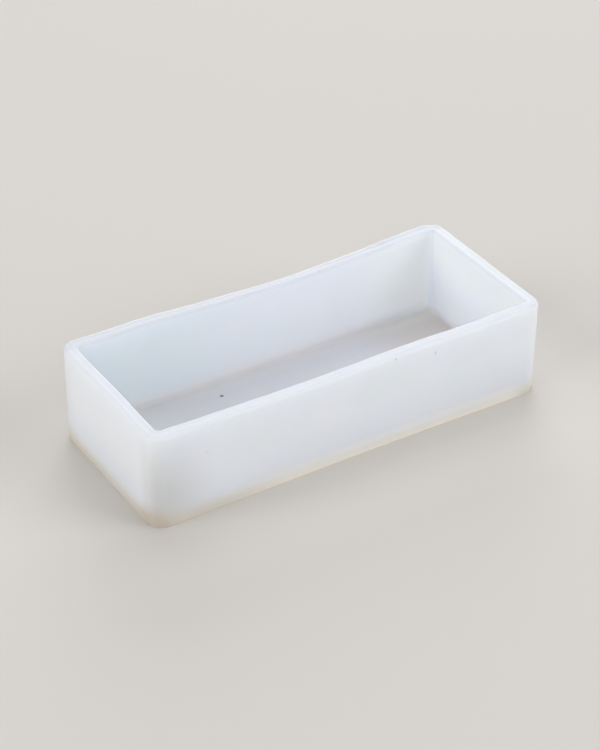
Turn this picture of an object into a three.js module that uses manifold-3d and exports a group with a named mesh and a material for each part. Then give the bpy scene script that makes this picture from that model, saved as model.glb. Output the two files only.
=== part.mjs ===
// Silicone loaf mould for soap: an open tub cast in one piece, with thick self-standing walls.
// Millimetres, +Z up. The origin is the middle of the underside, with the length along X and the width along Y.
import * as THREE from 'three';
import { mergeVertices } from 'three/addons/utils/BufferGeometryUtils.js';
import Module from 'manifold-3d';

// Driving dimensions: the outside
const mouldLength = 200;
const mouldWidth = 85;
const mouldHeight = 47;
const outerCornerRadius = 7; // the four upright outer corners, in plan
const outerEdgeRadius = 0.8; // the edge round the underside and the outer edge of the rim

// Driving dimensions: the cavity that shapes the loaf
const wallThickness = 5.5; // at the rim, where the wall is thinnest
const floorThickness = 3.5;
const cavityCornerRadius = 1.6; // the four upright inner corners, in plan
const cavityFilletRadius = 1.2; // where the cavity's walls meet its floor
const cavityDraftDegrees = 0.5; // lean of the cavity's walls, which lets the loaf slide out

// Fineness of the round stretches
const cornerSegments = 10; // per quarter turn of an upright corner
const edgeSegments = 4; // per quarter turn of an edge or fillet

const wasm = await Module();
wasm.setup();

// A rectangle with round corners, centred on the origin.
function roundedRectangle(length, width, cornerRadius) {
  const x = length / 2 - cornerRadius;
  const y = width / 2 - cornerRadius;
  const outline = new THREE.Shape();
  outline.absarc(x, y, cornerRadius, 0, Math.PI / 2);
  outline.absarc(-x, y, cornerRadius, Math.PI / 2, Math.PI);
  outline.absarc(-x, -y, cornerRadius, Math.PI, 1.5 * Math.PI);
  outline.absarc(x, -y, cornerRadius, 1.5 * Math.PI, 2 * Math.PI);
  return outline;
}

// A block that stands on z = 0, round at its upright corners and along its top and bottom edges.
function roundedBlock(length, width, height, cornerRadius, edgeRadius) {
  const geometry = new THREE.ExtrudeGeometry(roundedRectangle(length, width, cornerRadius), {
    depth: height - 2 * edgeRadius,
    curveSegments: cornerSegments,
    bevelThickness: edgeRadius,
    bevelSize: edgeRadius,
    bevelOffset: -edgeRadius,
    bevelSegments: edgeSegments,
  });
  return geometry.translate(0, 0, edgeRadius);
}

// Leans a centred block's walls inwards, by the same angle all round, from its own size at z = 0 down.
function leanWallsInwards(geometry, degrees) {
  const inwardsPerMillimetre = Math.tan(THREE.MathUtils.degToRad(degrees));
  const position = geometry.attributes.position;
  for (let i = 0; i < position.count; i++) {
    const inwards = -position.getZ(i) * inwardsPerMillimetre;
    position.setX(i, position.getX(i) - Math.sign(position.getX(i)) * inwards);
    position.setY(i, position.getY(i) - Math.sign(position.getY(i)) * inwards);
  }
  return geometry;
}

// A closed geometry as a solid for cutting: only its positions, with the shared vertices merged.
function solidFrom(geometry) {
  const surface = geometry.clone();
  surface.deleteAttribute('normal');
  surface.deleteAttribute('uv');
  const merged = mergeVertices(surface);
  return new wasm.Manifold(new wasm.Mesh({
    numProp: 3,
    vertProperties: merged.attributes.position.array,
    triVerts: new Uint32Array(merged.index.array),
  }));
}

// A solid as a geometry for a mesh.
function geometryFrom(solid) {
  const { vertProperties, triVerts } = solid.getMesh();
  const geometry = new THREE.BufferGeometry();
  geometry.setAttribute('position', new THREE.BufferAttribute(vertProperties, 3));
  geometry.setIndex(new THREE.BufferAttribute(triVerts, 1));
  geometry.computeVertexNormals();
  return geometry;
}

// The loaf's space. Its walls lean in from the rim's height down to the floor, and it runs on above the rim.
function cavity() {
  const cavityDepth = mouldHeight - floorThickness;
  const aboveRim = wallThickness;
  const block = roundedBlock(
    mouldLength - 2 * wallThickness,
    mouldWidth - 2 * wallThickness,
    cavityDepth + aboveRim,
    cavityCornerRadius,
    cavityFilletRadius,
  );
  block.translate(0, 0, -cavityDepth); // the rim's height is z = 0 here, where the lean is nothing
  leanWallsInwards(block, cavityDraftDegrees);
  return solidFrom(block.translate(0, 0, mouldHeight));
}

function mouldBody() {
  const outside = solidFrom(
    roundedBlock(mouldLength, mouldWidth, mouldHeight, outerCornerRadius, outerEdgeRadius),
  );
  const milkySilicone = new THREE.MeshStandardMaterial({
    color: new THREE.Color(0.83, 0.86, 0.89),
    roughness: 0.45,
    metalness: 0,
  });
  const mesh = new THREE.Mesh(geometryFrom(outside.subtract(cavity())), milkySilicone);
  mesh.name = 'mould_body';
  return mesh;
}

const soapMould = new THREE.Group();
soapMould.add(mouldBody());

export default soapMould;
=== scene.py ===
import math

import bpy
import numpy as np
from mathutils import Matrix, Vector


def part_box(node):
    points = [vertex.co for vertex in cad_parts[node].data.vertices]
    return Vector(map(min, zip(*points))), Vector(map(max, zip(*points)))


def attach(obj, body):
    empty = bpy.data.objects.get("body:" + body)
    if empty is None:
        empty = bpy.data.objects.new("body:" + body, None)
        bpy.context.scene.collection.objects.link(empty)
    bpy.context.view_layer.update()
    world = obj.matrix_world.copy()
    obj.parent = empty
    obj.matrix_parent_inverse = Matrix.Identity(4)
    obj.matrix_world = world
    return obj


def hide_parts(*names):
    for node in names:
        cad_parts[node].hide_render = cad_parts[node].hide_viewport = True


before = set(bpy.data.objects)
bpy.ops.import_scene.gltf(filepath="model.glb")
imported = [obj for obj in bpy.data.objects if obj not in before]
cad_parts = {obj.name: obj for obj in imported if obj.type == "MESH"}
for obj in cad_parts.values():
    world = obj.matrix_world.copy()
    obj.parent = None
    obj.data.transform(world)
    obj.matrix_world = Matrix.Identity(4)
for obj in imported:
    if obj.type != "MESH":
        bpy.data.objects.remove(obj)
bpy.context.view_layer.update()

# A silicone loaf mould for soap: one open tub, cast in one piece, on a plain floor.
# Shapes are worked out in millimetres, and turned into metres where they become a mesh.
bodyLow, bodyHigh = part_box("mould_body")
mm = 0.001

cameraSetup = {
    "lookAt": (0.0135, 0.0255, 0.0),   # the point in the middle of the view
    "turn": 31.9,                      # degrees that the view looks to the right of +Y
    "tilt": 34.3,                      # degrees that it looks down
    "distance": 1.040,                 # metres from that point
    "lens": 107.75,                    # focal length in mm
    "nearest": 0.01,                   # what is closer than this, or further than the next, isn't drawn
    "furthest": 20.0,
}


def makeCamera(setup):
    # the camera stands back from the point it looks at, along its own line of sight
    turn, tilt = math.radians(setup["turn"]), math.radians(setup["tilt"])
    sight = Vector((math.sin(turn) * math.cos(tilt), math.cos(turn) * math.cos(tilt), -math.sin(tilt)))
    data = bpy.data.cameras.new("camera")
    data.lens = setup["lens"]
    data.clip_start = setup["nearest"]
    data.clip_end = setup["furthest"]
    camera = bpy.data.objects.new("camera", data)
    camera.location = Vector(setup["lookAt"]) - sight * setup["distance"]
    camera.rotation_euler = sight.to_track_quat("-Z", "Y").to_euler()
    bpy.context.scene.collection.objects.link(camera)
    bpy.context.scene.camera = camera


makeCamera(cameraSetup)
print("camera ready")


def smoothStep(values, start, end):
    # 0 before start, 1 after end, and the cubic 3t^2 - 2t^3 in between
    t = np.clip((values - start) / (end - start), 0.0, 1.0)
    return t * t * (3.0 - 2.0 * t)


def bell(values, centre, spread):
    # a bell curve, 1 at the centre and 1/e one spread away
    return np.exp(-((values - centre) / spread) ** 2)


def linear(red, green, blue):
    # a colour as seen on a screen, 0 to 255, turned into the linear light that shaders take
    seen = np.array([red, green, blue]) / 255.0
    light = np.where(seen <= 0.04045, seen / 12.92, ((seen + 0.055) / 1.055) ** 2.4)
    return (*light.tolist(), 1.0)


def makePiece(name, vertices, faces, material):
    # one smooth-shaded mesh object at the origin, with its place in its vertices
    mesh = bpy.data.meshes.new(name)
    mesh.from_pydata(vertices.tolist(), [], faces)
    mesh.validate()
    mesh.shade_smooth()
    mesh.materials.append(material)
    piece = bpy.data.objects.new(name, mesh)
    bpy.context.scene.collection.objects.link(piece)
    return piece


class Tone:
    # wraps one socket of a material's nodes, so that Python's operators add Math nodes
    def __init__(self, recipe, socket):
        self.recipe = recipe
        self.socket = socket

    def math(self, operation, first, second=0.0):
        return self.recipe.add("ShaderNodeMath", {"operation": operation}, {0: first, 1: second})

    def __add__(self, other):
        return self.math("ADD", self, other)

    def __mul__(self, other):
        return self.math("MULTIPLY", self, other)

    def __sub__(self, other):
        return self.math("SUBTRACT", self, other)

    def __rsub__(self, other):
        return self.math("SUBTRACT", other, self)

    __radd__ = __add__
    __rmul__ = __mul__

    def size(self):
        return self.math("ABSOLUTE", self)

    def fade(self, start, end):
        # smooth step from 0 at start to 1 at end, or the other way round where start is the larger
        settings = {"interpolation_type": "SMOOTHSTEP"}
        if start < end:
            inputs = {"Value": self, "From Min": start, "From Max": end}
        else:
            inputs = {"Value": self, "From Min": end, "From Max": start, "To Min": 1.0, "To Max": 0.0}
        return self.recipe.add("ShaderNodeMapRange", settings, inputs)


class Recipe:
    # one material and its nodes
    def __init__(self, name):
        self.material = bpy.data.materials.new(name)
        self.material.use_nodes = True
        self.nodes = self.material.node_tree.nodes
        self.links = self.material.node_tree.links
        self.nodes.clear()

    def add(self, kind, settings, inputs, output=0):
        # any node: its settings first, then the values or links of its sockets
        node = self.nodes.new(kind)
        for name, value in settings.items():
            setattr(node, name, value)
        for name, value in inputs.items():
            if isinstance(value, Tone):
                self.links.new(value.socket, node.inputs[name])
            else:
                node.inputs[name].default_value = value
        return Tone(self, node.outputs[output]) if node.outputs else None

    def vector(self, operation, first, second=(0.0, 0.0, 0.0), output=0):
        return self.add("ShaderNodeVectorMath", {"operation": operation}, {0: first, 1: second}, output)

    def place(self):
        # the Object coordinates in millimetres, as a vector and as x, y and z
        metres = self.add("ShaderNodeTexCoord", {}, {}, output="Object")
        vector = self.vector("MULTIPLY", metres, (1000.0, 1000.0, 1000.0))
        return vector, *[self.add("ShaderNodeSeparateXYZ", {}, {0: vector}, output=k) for k in range(3)]

    def noise(self, place, blob, detail=2.0, shift=0.0):
        # soft noise, 0 to 1, with blobs of these millimetres along X, Y and Z
        scale = [1.0 / blob[k] for k in range(3)]
        inputs = {"Vector": place, "Location": (shift, shift, shift), "Scale": scale}
        moved = self.add("ShaderNodeMapping", {}, inputs)
        return self.add("ShaderNodeTexNoise", {}, {"Vector": moved, "Scale": 1.0, "Detail": detail})

    def spot(self, place, centre, reach):
        # 1 inside an ellipsoid of these half sizes, and softly 0 outside it
        away = self.vector("SUBTRACT", place, centre)
        away = self.vector("DIVIDE", away, reach)
        return self.vector("LENGTH", away, output="Value").fade(1.3, 0.6)

    def mix(self, share, first, second):
        # the first colour where share is 0, and the second where it is 1
        return self.add("ShaderNodeMix", {"data_type": "RGBA"}, {0: share, 6: first, 7: second}, output=2)

    def attribute(self, name):
        return self.add("ShaderNodeAttribute", {"attribute_name": name}, {}, output="Fac")

    def finish(self, shader):
        self.add("ShaderNodeOutputMaterial", {}, {"Surface": shader})
        return self.material


silicone = {
    "milk": linear(231, 235, 242),        # the body colour
    "mist": linear(228, 234, 238),        # faint clouds in it, one greener and one more violet
    "violet": linear(230, 233, 241),
    "ends": linear(233, 236, 239),        # the two short outer faces, a touch warmer
    "rim": linear(195, 199, 208),         # painted shade on the rim, whose flat top takes the most light
    "leftCavityShade": linear(221, 229, 233),        # painted shade on the cavity's walls, towards the left end
    "lowRightShade": linear(226, 231, 238),        # painted shade low down at the right end
    "rightEndLight": linear(240, 246, 254),        # painted light towards the right end, inside and out, and near the rim there
    "top": linear(232, 239, 252),         # painted light: lighter and bluer towards the rim, inside and outside
    "fillet": linear(232, 231, 232),      # low on the cavity's walls, where the floor's fillet starts
    "floor": linear(234, 231, 241),       # the thin cavity floor, with the table showing through it
    "floorLeftLight": linear(254, 248, 255),   # painted light on the same floor at its left end
    "floorBackLight": linear(248, 243, 244),   # warmer, and painted light against the shade where the floor meets the back wall
    "floorEndShade": linear(226, 215, 209),    # painted shade, darker and warmer, at its right end
    "floorCornerLight": linear(255, 247, 234), # and painted light where those two meet
    "shade": linear(224, 228, 234),       # low on the outside
    "foot": linear(254, 247, 236),        # painted light where the walls stand on the table: warm, and lighter against the contact shade there
    "footEndShade": linear(225, 217, 205),     # painted shade: darker at the two ends
    "footCornerShade": linear(203, 193, 181),  # painted shade, darker still at the upright corners, where the silicone is thickest
    "corner": linear(207, 209, 210),      # painted shade on the upright corners above that
    "fleck": linear(122, 115, 120),       # a grain that stuck to the cavity floor
    "greySpot": linear(209, 211, 216),         # small greyer spots on the front wall
    "cloudSize": 38.0,                    # mm across: greener clouds, violet ones and the foot's ruffle
    "wispSize": 22.0,
    "ruffleSize": 14.0,
    "flowSize": (30.0, 30.0, 5.0),        # flow marks from the pour, long and shallow
    "grainSize": 0.7,
    "flowHeight": 0.05,                   # mm that each stands up from the skin
    "grainHeight": 0.012,
    "roughness": 0.48,
    "refraction": 1.41,
    "scatterDepth": 0.010,                # how far light travels in it, in metres
    "scatterTint": (1.0, 0.92, 0.85),     # and how far red, green and blue go next to each other
    "tableReach": 4.5,                    # up to this height the table lights the silicone from below
    # centre and half sizes of each grain and grey spot
    "flecks": (((-28.3, 25.6, 3.4), (0.95, 0.8, 1.0)),),
    "greySpots": (
        ((20.2, -43.0, 45.1), (0.5, 3.0, 0.9)),
        ((41.1, -42.8, 41.0), (0.4, 3.0, 0.9)),
        ((-74.4, -42.6, 32.2), (0.4, 3.0, 0.4)),
    ),
}


def makeSilicone(values):
    # Milky body with faint clouds, a grey floor and a satin skin, with painted light and shade: cooler,
    # darker walls inside towards the left end and lighter ones towards the right, a darker rim, darker
    # upright corners and a warm foot.
    # Places are in millimetres: x.fade(20, -60) goes from 0 at x = 20 to 1 at x = -60.
    recipe = Recipe("milky_silicone")
    place, x, y, z = recipe.place()
    inside = recipe.attribute("inside")
    onFloor = recipe.attribute("onFloor")
    rimShade = recipe.attribute("rimShade")
    outside = 1.0 - inside

    # the body, with its clouds
    clouds = recipe.noise(place, [values["cloudSize"]] * 3)
    wisps = recipe.noise(place, [values["wispSize"]] * 3, shift=1.8)
    colour = recipe.mix(clouds.fade(0.40, 0.68), values["milk"], values["mist"])
    colour = recipe.mix(wisps.fade(0.46, 0.72) * 0.8, colour, values["violet"])

    # painted light and shade on the walls, from left to right and low to high, and painted shade on the rim
    colour = recipe.mix(inside * x.fade(20.0, -60.0), colour, values["leftCavityShade"])
    colour = recipe.mix(inside * x.fade(38.0, 80.0), colour, values["rightEndLight"])
    colour = recipe.mix(inside * x.fade(91.0, 94.0) * z.fade(40.0, 12.0), colour, values["lowRightShade"])
    lowInside = inside * z.fade(11.0, 4.0) * (1.0 - 0.5 * x.fade(60.0, 92.0))
    colour = recipe.mix(lowInside, colour, values["fillet"])
    colour = recipe.mix(0.5 * outside * x.fade(66.0, 95.0), colour, values["rightEndLight"])
    ends = x.size().fade(95.5, 99.5) * outside
    colour = recipe.mix(ends, colour, values["ends"])
    colour = recipe.mix(0.45 * z.fade(32.0, 46.0), colour, values["top"])
    # painted shade on the rim, stronger at the outer edge and weaker at the lip on the back and right rims
    onBackRim = y.fade(34.0, 38.0)
    moreRimShade = 0.8 * x.fade(90.0, 95.0) * (1.0 - onBackRim) * (0.4 - inside) + onBackRim * (0.8 - inside)
    colour = recipe.mix(rimShade * (1.0 + moreRimShade), colour, values["rim"])

    # low on the outside: painted shade, darkest at the near left corner, the thickest place, where the
    # painted warm foot also rises higher
    ruffle = recipe.noise(place, [values["ruffleSize"]] * 3, detail=1.0, shift=0.8)
    towardsLeft = 0.15 + 0.85 * x.fade(40.0, -60.0)
    towardsFront = 0.4 + 0.6 * y.fade(20.0, -20.0)
    corner = x.size().fade(64.0, 100.0) * y.size().fade(28.0, 41.0) * towardsLeft * towardsFront * outside
    colour = recipe.mix(z.fade(30.0, 4.0) * outside, colour, values["shade"])
    colour = recipe.mix(corner * z.fade(56.0, 12.0), colour, values["corner"])
    # the foot: painted light along the long sides, painted shade at the ends and at the near left corner
    footColour = recipe.mix(x.fade(-25.0, -80.0) + x.fade(82.0, 98.0), values["foot"], values["footEndShade"])
    nearCorner = x.size().fade(86.0, 99.0) * y.size().fade(20.0, 41.0) * towardsLeft * towardsFront
    footColour = recipe.mix(nearCorner, footColour, values["footCornerShade"])
    foot = (z - 3.5 * nearCorner - 0.5 * ends).fade(9.5, -1.0) * outside * (0.85 + 0.4 * ruffle)
    colour = recipe.mix(foot, colour, footColour)

    # the cavity floor, greyer in the middle, with painted light at its left end and along the back wall, and
    # painted shade, warmer, at its right end
    towardsBack = y.fade(25.0, 36.0)
    floorColour = recipe.mix(x.fade(-30.0, -70.0), values["floor"], values["floorLeftLight"])
    floorColour = recipe.mix(towardsBack, floorColour, values["floorBackLight"])
    endColour = recipe.mix(towardsBack, values["floorEndShade"], values["floorCornerLight"])
    floorColour = recipe.mix(x.fade(35.0, 82.0), floorColour, endColour)
    colour = recipe.mix(onFloor, colour, floorColour)

    for centre, reach in values["greySpots"]:
        colour = recipe.mix(recipe.spot(place, centre, reach), colour, values["greySpot"])
    for centre, reach in values["flecks"]:
        colour = recipe.mix(recipe.spot(place, centre, reach), colour, values["fleck"])

    # the skin: a fine grain, and flow marks
    grain = recipe.noise(place, [values["grainSize"]] * 3, detail=3.0, shift=5.1)
    flow = recipe.noise(place, values["flowSize"], shift=3.3)
    height = values["grainHeight"] * grain + values["flowHeight"] * flow
    skin = recipe.add("ShaderNodeBump", {}, {"Strength": 0.6, "Distance": mm, "Height": height})
    roughness = values["roughness"] + 0.10 * (flow - 0.5) + 0.06 * (grain - 0.5)

    # Milky all through. Light that leaves through the underside or the thin floor comes back from the table,
    # so a share of plain surface is mixed in close to it.
    surface = {"Base Color": colour, "Roughness": roughness, "Normal": skin, "IOR": values["refraction"]}
    scatter = {
        "Subsurface Weight": 1.0,
        "Subsurface Radius": values["scatterTint"],
        "Subsurface Scale": values["scatterDepth"],
    }
    settings = {"subsurface_method": "RANDOM_WALK"}
    milky = recipe.add("ShaderNodeBsdfPrincipled", settings, surface | scatter)
    clouded = recipe.add("ShaderNodeBsdfPrincipled", {}, surface)
    plain = z.fade(values["tableReach"], 0.0) * outside
    plain = plain + 0.2 * onFloor * (x.fade(-30.0, -75.0) + towardsBack * x.fade(-20.0, 30.0))
    return recipe.finish(recipe.add("ShaderNodeMixShader", {}, {0: plain, 1: milky, 2: clouded}))


tub = {
    "length": (bodyHigh.x - bodyLow.x) / mm,
    "width": (bodyHigh.y - bodyLow.y) / mm,
    "height": (bodyHigh.z - bodyLow.z) / mm,
    "wall": 5.5,
    "floor": 3.5,
    "cornerOutside": 7.0,
    "cornerInside": 1.8,   # at the rim
    "cornerBelow": 3.0,    # and at the cavity floor
    "footEdge": 0.2,       # radius of the edge round the underside
    "shoulder": 1.9,       # radii of the rim's outer and inner edges
    "lip": 0.8,
    "fillet": 2.4,
    "draft": 0.5,          # degrees that the cavity's walls lean
    "cornerSteps": 18,     # points along each corner, long wall and short wall of the outline
    "longSteps": 140,
    "shortSteps": 58,
    "underSteps": 22,      # and up the section: underside, outer wall, each edge, rim, cavity wall and floor
    "outerSteps": 24,
    "edgeSteps": 8,
    "rimSteps": 8,
    "innerSteps": 26,
    "floorSteps": 34,
    "shoulderShade": 0.42, # how much of the rim's painted shade its shoulder takes
    "lipShade": 0.70,      # and its lip
    # the walls stand a little out of true. Each bell is (place along the wall, spread, amount outwards)
    "rimBows": {
        "back": ((12.0, 47.0, -3.2), (-62.0, 20.0, 1.2), (84.0, 13.0, 1.3), (-93.0, 10.0, 0.8)),
        "front": ((-27.0, 30.0, 0.9), (62.0, 14.0, 0.5), (-90.0, 10.0, -0.6)),
        "right": ((10.0, 28.0, 0.35),),
        "left": ((-2.0, 14.0, -0.45), (36.0, 9.0, -0.4)),
    },
    "footBows": {"back": (), "front": ((0.0, 95.0, -1.6),), "right": (), "left": ()},
    "bowRise": 1.5,        # a bow at the rim grows with this power of the height
    "ripple": 0.04,        # unevenness of the walls: height, number and lengths of the waves
    "rippleWaves": 9,
    "rippleLengths": (26.0, 70.0),
    "rippleSeed": 11,
    # nubs of flash on the rim's outer edge near the back right corner: x, y, height and reach
    "flash": (
        (61.0, 41.0, 0.50, 2.2),
        (68.0, 41.5, 0.85, 2.6),
        (74.0, 42.0, 0.60, 2.0),
        (82.0, 42.5, 0.40, 2.4),
        (91.0, 42.0, 0.75, 2.2),
        (98.0, 38.0, 0.55, 2.0),
        (99.5, 31.0, 0.35, 2.6),
    ),
}


def walkRound(values):
    # The way round a rounded rectangle: corner k turns through a quarter, then a straight runs to the next.
    # Each point is (kx, ky, angle). Its x is kx * (half length - radius) + radius * cos(angle), and its y is
    # ky * (half width - radius) + radius * sin(angle).
    turn = np.linspace(0.0, math.pi / 2, values["cornerSteps"], endpoint=False)
    signs = [(1, 1), (-1, 1), (-1, -1), (1, -1)]
    parts = []
    for k, (signX, signY) in enumerate(signs):
        nextX, nextY = signs[(k + 1) % 4]
        steps = values["longSteps"] if k % 2 == 0 else values["shortSteps"]
        share = np.linspace(0.0, 1.0, steps, endpoint=False)
        parts.append(np.stack([signX + 0 * turn, signY + 0 * turn, turn + k * math.pi / 2]))
        angle = np.full(steps, (k + 1) * math.pi / 2)
        parts.append(np.stack([signX + (nextX - signX) * share, signY + (nextY - signY) * share, angle]))
    return np.concatenate(parts, axis=1)


def tubProfile(values):
    # The section of the tub: from the middle of the underside out, up, over the rim, down, and in to the
    # middle of the floor. Each row is scale, inset, level, corner radius, and then its shares of inside, of
    # the rim's painted shade, and of floor.
    wall, floor, height = values["wall"], values["floor"], values["height"]
    foot, shoulder, lip, fillet = values["footEdge"], values["shoulder"], values["lip"], values["fillet"]
    lean = math.tan(math.radians(values["draft"]))
    turning = np.linspace(0.0, math.pi / 2, values["edgeSteps"])[1:]
    shoulderShade, lipShade = values["shoulderShade"], values["lipShade"]
    rows = []

    def add(scale, inset, level, radius, inside=0.0, rimShade=0.0, onFloor=0.0):
        columns = np.broadcast_arrays(scale, inset, level, radius, inside, rimShade, onFloor)
        rows.append(np.stack(columns, axis=1))

    def radiusAcross(inset):
        share = np.clip(inset / wall, 0.0, 1.0)
        return values["cornerOutside"] * (1.0 - share) + values["cornerInside"] * share

    def radiusDown(level):
        share = (height - level) / (height - floor)
        return values["cornerInside"] * (1.0 - share) + values["cornerBelow"] * share

    # underside, its edge, and the outer wall
    add(np.linspace(0.04, 1.0, values["underSteps"]), foot, 0.0, radiusAcross(foot))
    inset = foot * (1.0 - np.sin(turning))
    add(1.0, inset, foot * (1.0 - np.cos(turning)), radiusAcross(inset))
    add(1.0, 0.0, np.linspace(foot, height - shoulder, values["outerSteps"])[1:], radiusAcross(0.0))
    # the rim: shoulder, flat top and lip, each with its share of the rim's painted shade
    inset = shoulder * (1.0 - np.cos(turning))
    level = height - shoulder * (1.0 - np.sin(turning))
    add(1.0, inset, level, radiusAcross(inset), rimShade=shoulderShade * np.sin(turning))
    inset = np.linspace(shoulder, wall - lip, values["rimSteps"])[1:]
    share = (inset - shoulder) / (wall - lip - shoulder)
    shade = shoulderShade + (lipShade - shoulderShade) * np.sqrt(share)
    add(1.0, inset, height, radiusAcross(inset), inside=share, rimShade=shade)
    inset = wall - lip * (1.0 - np.sin(turning))
    level = height - lip * (1.0 - np.cos(turning))
    shade = lipShade - 0.25 * (1.0 - np.cos(turning))
    add(1.0, inset, level, radiusAcross(inset), inside=1.0, rimShade=shade)
    # the cavity's wall, its fillet and the floor
    level = np.linspace(height - lip, floor + fillet, values["innerSteps"])[1:]
    shade = 0.1 * (1.0 - smoothStep(height - lip - level, 0.0, 1.5))
    add(1.0, wall + (height - level) * lean, level, radiusDown(level), inside=1.0, rimShade=shade)
    foldedIn = fillet * (1.0 - np.cos(turning))
    deepest = wall + (height - floor) * lean
    level = floor + fillet * (1.0 - np.sin(turning))
    radius = np.maximum(values["cornerBelow"] - foldedIn, 0.4)
    add(1.0, deepest + foldedIn, level, radius, inside=1.0, onFloor=smoothStep(foldedIn, 0.0, fillet))
    scale = np.linspace(1.0, 0.02, values["floorSteps"])[1:]
    add(scale, deepest + fillet, floor, radius[-1], inside=1.0, onFloor=1.0)
    return np.concatenate(rows)


def bowWalls(x, y, z, values):
    # Each wall moves out by the sum of its bells: the rim's times a power of the height, and the foot's times
    # what is left of it. The move fades to nothing towards the middle of the tub. A few long waves are added.
    halfLength, halfWidth = values["length"] / 2, values["width"] / 2
    rise = np.clip(z / values["height"], 0.0, 1.0) ** values["bowRise"]

    def outwards(wall, along):
        high = sum(amount * bell(along, centre, spread) for centre, spread, amount in values["rimBows"][wall])
        low = sum(amount * bell(along, centre, spread) for centre, spread, amount in values["footBows"][wall])
        return high * rise + low * (1.0 - rise)

    sideY = smoothStep(np.abs(y), halfWidth * 0.45, halfWidth - 9.0)
    sideX = smoothStep(np.abs(x), halfLength * 0.70, halfLength - 9.0)
    moveY = np.where(y > 0, outwards("back", x), -outwards("front", x)) * sideY
    moveX = np.where(x > 0, outwards("right", y), -outwards("left", y)) * sideX
    draw = np.random.default_rng(values["rippleSeed"])
    for _ in range(values["rippleWaves"]):
        length = draw.uniform(*values["rippleLengths"])
        direction = draw.normal(size=3)
        direction /= np.linalg.norm(direction)
        phase = draw.uniform(0.0, 2.0 * math.pi, 2)
        angle = 2.0 * math.pi / length * (direction[0] * x + direction[1] * y + direction[2] * z)
        moveX = moveX + values["ripple"] * np.sin(angle + phase[0]) * rise
        moveY = moveY + values["ripple"] * np.sin(angle + phase[1]) * rise
    return x + moveX, y + moveY, z


def raiseFlash(x, y, z, inset, values):
    # each nub lifts the rim's outer edge by its height times a bell curve of the distance from its place
    nearRim = smoothStep(z, values["height"] - 1.8, values["height"] - 0.6)
    onEdge = bell(inset, 0.9, 0.8) * nearRim
    lift = 0.0
    for nubX, nubY, height, reach in values["flash"]:
        lift = lift + height * bell(np.hypot(x - nubX, y - nubY), 0.0, reach)
    return z + lift * onEdge


def makeTub(values, material):
    # The profile carried round the outline: ring by ring, each point of walkRound is set out with the ring's
    # own half sizes and corner radius. The two ends of the profile are closed by one point each.
    kx, ky, angle = walkRound(values)
    scale, inset, level, radius, inside, rimShade, onFloor = tubProfile(values).T[:, :, None]
    corner = radius * scale
    x = kx * ((values["length"] / 2 - inset) * scale - corner) + corner * np.cos(angle)
    y = ky * ((values["width"] / 2 - inset) * scale - corner) + corner * np.sin(angle)
    z = np.broadcast_to(level, x.shape)
    z = raiseFlash(x, y, z, inset, values)
    x, y, z = bowWalls(x, y, z, values)

    rings, steps = x.shape
    points = np.stack([x, y, z], axis=2).reshape(-1, 3)
    poles = np.array([[0.0, 0.0, 0.0], [0.0, 0.0, values["floor"]]])
    vertices = np.concatenate([points, poles]) * mm
    here = np.arange(steps)
    after = (here + 1) % steps
    ring = np.arange(rings - 1)[:, None] * steps
    quads = np.stack([ring + here, ring + after, ring + steps + after, ring + steps + here], axis=2)
    under = np.stack([np.full(steps, rings * steps), after, here], axis=1)
    last = (rings - 1) * steps
    over = np.stack([np.full(steps, rings * steps + 1), last + here, last + after], axis=1)
    faces = quads.reshape(-1, 4).tolist() + under.tolist() + over.tolist()
    piece = makePiece("silicone_tub", vertices, faces, material)

    # the shares that the material reads. The last two values are for the two closing points
    shares = {"inside": (inside, [0.0, 1.0]), "rimShade": (rimShade, [0.0, 0.0]), "onFloor": (onFloor, [0.0, 1.0])}
    for name, (alongRings, atPoles) in shares.items():
        layer = piece.data.attributes.new(name, "FLOAT", "POINT")
        everywhere = np.broadcast_to(alongRings, x.shape).reshape(-1)
        layer.data.foreach_set("value", np.concatenate([everywhere, atPoles]).astype(np.float32))
    return piece


mould = makeTub(tub, makeSilicone(silicone))
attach(mould, "root")
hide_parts("mould_body")
print("tub ready:", len(mould.data.polygons), "faces")

studio = {
    "floor": linear(215, 211, 206),
    "floorRoughness": 0.8,
    "floorGloss": 0.2,
    "floorReach": 6.0,          # metres from its middle to its edge
    "sky": (0.97, 0.985, 1.0),
    "skyStrength": 0.20,
    # each lamp's place, size and power
    "lamps": {
        "overhead": ((0.45, 0.68, 2.40), 2.1, 21.6),
        "left": ((-2.40, 0.0, 1.28), 1.9, 32.5),
        "frontLeft": ((-1.28, -2.08, 1.28), 1.9, 11.5),
        "frontRight": ((1.70, -1.75, 1.25), 1.9, 34.2),
        "backRight": ((1.36, 2.16, 1.00), 1.6, 30.0),
    },
}


def makeStudio(values):
    # a plain floor under the object, a pale sky and large square lamps aimed at the object
    recipe = Recipe("plain_floor")
    surface = {
        "Base Color": values["floor"],
        "Roughness": values["floorRoughness"],
        "Specular IOR Level": values["floorGloss"],
    }
    shader = recipe.add("ShaderNodeBsdfPrincipled", {}, surface)
    reach = values["floorReach"]
    corners = reach * np.array([[-1.0, -1.0, 0.0], [1.0, -1.0, 0.0], [1.0, 1.0, 0.0], [-1.0, 1.0, 0.0]])
    floor = makePiece("floor", corners, [[0, 1, 2, 3]], recipe.finish(shader))
    for name, (place, size, power) in values["lamps"].items():
        lamp = bpy.data.lights.new(name, "AREA")
        lamp.size = size
        lamp.energy = power
        holder = bpy.data.objects.new(name, lamp)
        holder.location = place
        holder.rotation_euler = (-Vector(place)).to_track_quat("-Z", "Y").to_euler()
        bpy.context.scene.collection.objects.link(holder)
    world = bpy.data.worlds.new("sky")
    world.use_nodes = True
    world.node_tree.nodes["Background"].inputs["Color"].default_value = (*values["sky"], 1.0)
    world.node_tree.nodes["Background"].inputs["Strength"].default_value = values["skyStrength"]
    bpy.context.scene.world = world
    bpy.context.scene.view_settings.view_transform = "Standard"


makeStudio(studio)
print("studio ready")
